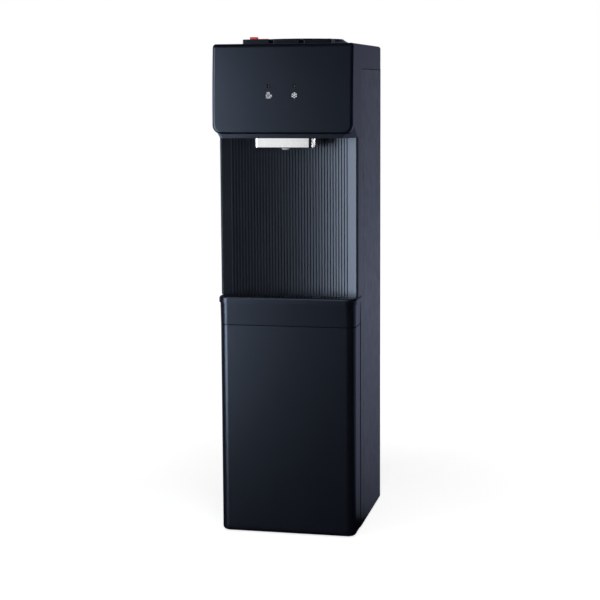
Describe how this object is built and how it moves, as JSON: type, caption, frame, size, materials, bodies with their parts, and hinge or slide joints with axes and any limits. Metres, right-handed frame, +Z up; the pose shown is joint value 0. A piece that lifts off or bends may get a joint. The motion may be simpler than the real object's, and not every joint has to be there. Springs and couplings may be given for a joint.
{
  "type": "floor-standing water dispenser",
  "caption": "Floor-standing top-loading water dispenser with a bellied head, push buttons on top, a ribbed dispensing niche, a lift-out drip tray and a wire condenser behind.",
  "frame": {"origin": "centre of the footprint's bounding box, on the floor under the feet", "axes": "+Z up, +Y to the back, +X to the right seen from the front"},
  "size_m": [0.2966, 0.378, 1.053],
  "materials": {
    "navy_panel": "satin navy-black injection moulding",
    "niche_plastic": "semi-gloss navy-black injection moulding",
    "grille_plastic": "satin black",
    "side_steel": "black powder coat on steel sheet",
    "galvanised_steel": "zinc coated sheet",
    "tap_chrome": "bright chrome plating on plastic",
    "nozzle_plastic": "pale moulded plastic",
    "white_plastic": "food grade white plastic",
    "button_plastic": "semi-gloss black",
    "lock_red": "red moulding",
    "inner_plastic": "grey moulded plastic",
    "silicone": "translucent silicone",
    "black_rubber": "black rubber",
    "spring_steel": "stainless spring wire",
    "stainless_steel": "stainless steel sheet",
    "foam": "expanded foam",
    "copper": "copper tube",
    "compressor_black": "black enamel",
    "condenser_black": "black enamel on steel tube and wire",
    "board_green": "printed circuit board",
    "led_red": "red diffused lamp",
    "led_green": "green diffused lamp",
    "black_plastic": "black moulded plastic",
    "rocker_red": "red rocker",
    "rocker_green": "green rocker",
    "screw_zinc": "zinc plated screw"
  },
  "bodies": {
    "cabinet": {"base_pan": "galvanised_steel", "feet": "black_rubber", "lower_front_cover": "navy_panel", "tray_housing": "navy_panel", "niche_wall": "niche_plastic", "head_hood": "navy_panel", "head_fascia": "navy_panel", "indicator_board": "board_green", "led_hot": "led_red", "led_cold": "led_green", "tap_cover": "tap_chrome", "tap_nozzle": "nozzle_plastic", "tap_manifold": "white_plastic", "valve_spring_hot": "spring_steel", "valve_spring_ambient": "spring_steel", "valve_spring_cold": "spring_steel", "button_shaft": "spring_steel", "rod_guide": "inner_plastic", "bottle_collar": "button_plastic", "collar_seal": "silicone", "cold_tank": "stainless_steel", "evaporator_coil": "copper", "cold_insulation": "foam", "mid_shelf": "galvanised_steel", "tank_shelf": "galvanised_steel", "hot_tank": "stainless_steel", "hot_tank_stand": "galvanised_steel", "hot_jacket": "foam", "hot_thermostats": "inner_plastic", "side_panel_left": "side_steel", "side_panel_right": "side_steel", "back_panel": "side_steel", "back_screws": "screw_zinc", "switch_plate": "black_plastic", "drain_spout": "white_plastic", "cord_gland": "black_rubber", "compressor": "compressor_black", "compressor_grommets": "black_rubber", "relay_cover": "black_plastic", "condenser_tube": "condenser_black", "condenser_wires": "condenser_black", "condenser_clips": "black_plastic", "refrigerant_line": "copper", "water_hoses": "silicone"},
    "hot_button": {"button_hot": "button_plastic"},
    "hot_valve": {"pushrod_hot": "white_plastic", "valve_seal_hot": "silicone"},
    "ambient_button": {"button_ambient": "button_plastic"},
    "ambient_valve": {"pushrod_ambient": "white_plastic", "valve_seal_ambient": "silicone"},
    "cold_button": {"button_cold": "button_plastic"},
    "cold_valve": {"pushrod_cold": "white_plastic", "valve_seal_cold": "silicone"},
    "child_lock": {"child_lock": "lock_red"},
    "drip_tray": {"drip_tray": "grille_plastic"},
    "drip_grille": {"drip_grille": "grille_plastic"},
    "rocker_cool": {"rocker_cool": "rocker_green"},
    "rocker_heat": {"rocker_heat": "rocker_red"},
    "drain_cap": {"drain_cap": "black_plastic"}
  },
  "joints": [
    {"name": "hot_press", "type": "hinge", "parent": "cabinet", "child": "hot_button", "pos_m": [-0.0644, -0.0954, 1.032], "axis": [1, 0, 0], "range_deg": [0, 6], "stiffness_Nm_per_rad": 0.13, "springref_deg": -8.02},
    {"name": "hot_valve_lift", "type": "slide", "parent": "cabinet", "child": "hot_valve", "axis": [0, 0, -1], "range_m": [0, 0.0031], "deforming": ["valve_spring_hot"]},
    {"name": "ambient_press", "type": "hinge", "parent": "cabinet", "child": "ambient_button", "pos_m": [0, -0.0954, 1.032], "axis": [1, 0, 0], "range_deg": [0, 6], "stiffness_Nm_per_rad": 0.13, "springref_deg": -8.02},
    {"name": "ambient_valve_lift", "type": "slide", "parent": "cabinet", "child": "ambient_valve", "axis": [0, 0, -1], "range_m": [0, 0.0031], "deforming": ["valve_spring_ambient"]},
    {"name": "cold_press", "type": "hinge", "parent": "cabinet", "child": "cold_button", "pos_m": [0.0644, -0.0954, 1.032], "axis": [1, 0, 0], "range_deg": [0, 6], "stiffness_Nm_per_rad": 0.13, "springref_deg": -8.02},
    {"name": "cold_valve_lift", "type": "slide", "parent": "cabinet", "child": "cold_valve", "axis": [0, 0, -1], "range_m": [0, 0.0031], "deforming": ["valve_spring_cold"]},
    {"name": "child_lock_slide", "type": "slide", "parent": "hot_button", "child": "child_lock", "axis": [-1, 0, 0], "range_m": [0, 0.008], "stiffness_N_per_m": 60, "springref_m": -0.005},
    {"name": "tray_lift", "type": "slide", "parent": "cabinet", "child": "drip_tray", "axis": [0, 0, 1], "range_m": [0, 0.05]},
    {"name": "grille_lift", "type": "slide", "parent": "drip_tray", "child": "drip_grille", "axis": [0, 0, 1], "range_m": [0, 0.03]},
    {"name": "rocker_cool_tilt", "type": "hinge", "parent": "cabinet", "child": "rocker_cool", "pos_m": [-0.1, 0.164, 0.9238], "axis": [1, 0, 0], "range_deg": [0, 20]},
    {"name": "rocker_heat_tilt", "type": "hinge", "parent": "cabinet", "child": "rocker_heat", "pos_m": [-0.084, 0.164, 0.9238], "axis": [1, 0, 0], "range_deg": [0, 20]},
    {"name": "drain_cap_pull", "type": "slide", "parent": "cabinet", "child": "drain_cap", "axis": [0, 1, 0], "range_m": [0, 0.03]}
  ],
  "couplings": [
    {"joint": "hot_valve_lift", "follows": "hot_press", "m_per_rad": 0.0296},
    {"joint": "ambient_valve_lift", "follows": "ambient_press", "m_per_rad": 0.0296},
    {"joint": "cold_valve_lift", "follows": "cold_press", "m_per_rad": 0.0296}
  ]
}
